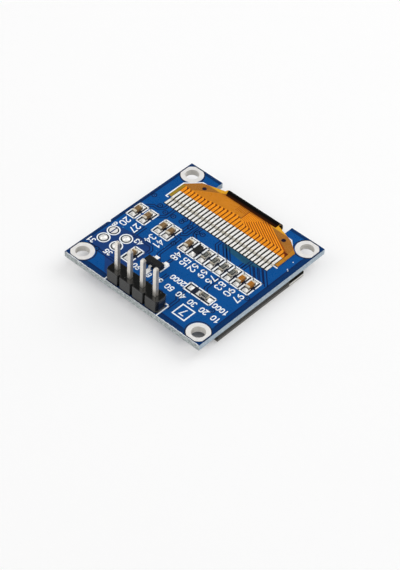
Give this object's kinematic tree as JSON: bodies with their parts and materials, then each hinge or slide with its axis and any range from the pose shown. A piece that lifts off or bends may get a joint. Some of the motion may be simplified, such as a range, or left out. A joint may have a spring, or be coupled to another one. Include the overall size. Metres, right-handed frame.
{
  "type": "small display module",
  "caption": "Small glass display on the underside of a square circuit board, with chip parts, a folded flex and a row of upright header pins on top.",
  "frame": {"origin": "middle of the module's footprint, at the display's front face, which the module lies on", "axes": "+Z out of the board's component side, +X along the header row, +Y from the header edge to the flex edge"},
  "size_m": [0.027, 0.0274, 0.0104],
  "materials": {
    "laminate": "blue solder mask on glass-fibre laminate, pale at the cut edges",
    "plated_tin": "silvery tin plating, satin",
    "polarizer_sheet": "dark grey glossy film",
    "glass_sheet": "clear glass with a ground edge",
    "cover_sheet": "dark-looking glass with a ground edge",
    "emitter_layers": "thin dark coated layers",
    "seal_resin": "cured seal resin",
    "desiccant": "matt off-white sheet",
    "bare_chip": "polished bare silicon",
    "foam": "soft white double-sided tape",
    "solder": "bright solder and tinned copper",
    "flex_base": "amber polyimide film",
    "coverlay": "orange polyimide coverlay over copper",
    "black_tape": "thin black adhesive tape",
    "header_plastic": "moulded black plastic, satin",
    "pin_metal": "tinned square wire",
    "tan_ceramic": "tan ceramic between tinned ends",
    "resistor_ceramic": "dark coated ceramic between tinned ends",
    "moulding": "black moulding compound",
    "lead_metal": "tinned sheet metal"
  },
  "bodies": {
    "root": {"circuit_board": "laminate", "mount_ring_1": "plated_tin", "mount_ring_2": "plated_tin", "mount_ring_3": "plated_tin", "mount_ring_4": "plated_tin", "polarizer": "polarizer_sheet", "substrate_glass": "glass_sheet", "emitter_film": "emitter_layers", "seal_bead": "seal_resin", "desiccant_sheet": "desiccant", "cover_glass": "cover_sheet", "driver_chip": "bare_chip", "foam_tape_1": "foam", "foam_tape_2": "foam", "board_contacts": "solder", "flex_film": "flex_base", "flex_contacts": "solder", "contact_solder": "solder", "flex_coverlay": "coverlay", "fold_tape": "black_tape", "header_base": "header_plastic", "header_pin_1": "pin_metal", "header_pin_2": "pin_metal", "header_pin_3": "pin_metal", "header_pin_4": "pin_metal", "pin_solder_1": "solder", "pin_solder_2": "solder", "pin_solder_3": "solder", "pin_solder_4": "solder", "chip_pads": "solder", "capacitor_1": "tan_ceramic", "capacitor_2": "tan_ceramic", "capacitor_3": "tan_ceramic", "capacitor_4": "tan_ceramic", "capacitor_5": "tan_ceramic", "capacitor_6": "tan_ceramic", "capacitor_7": "tan_ceramic", "capacitor_8": "tan_ceramic", "resistor_1": "resistor_ceramic", "resistor_2": "resistor_ceramic", "resistor_3": "resistor_ceramic", "resistor_4": "resistor_ceramic", "resistor_5": "resistor_ceramic", "diode": "moulding", "regulator_body": "moulding", "regulator_leads": "lead_metal", "jumper_1": "solder", "jumper_2": "solder", "jumper_3": "solder", "jumper_4": "solder"}
  },
  "joints": []
}
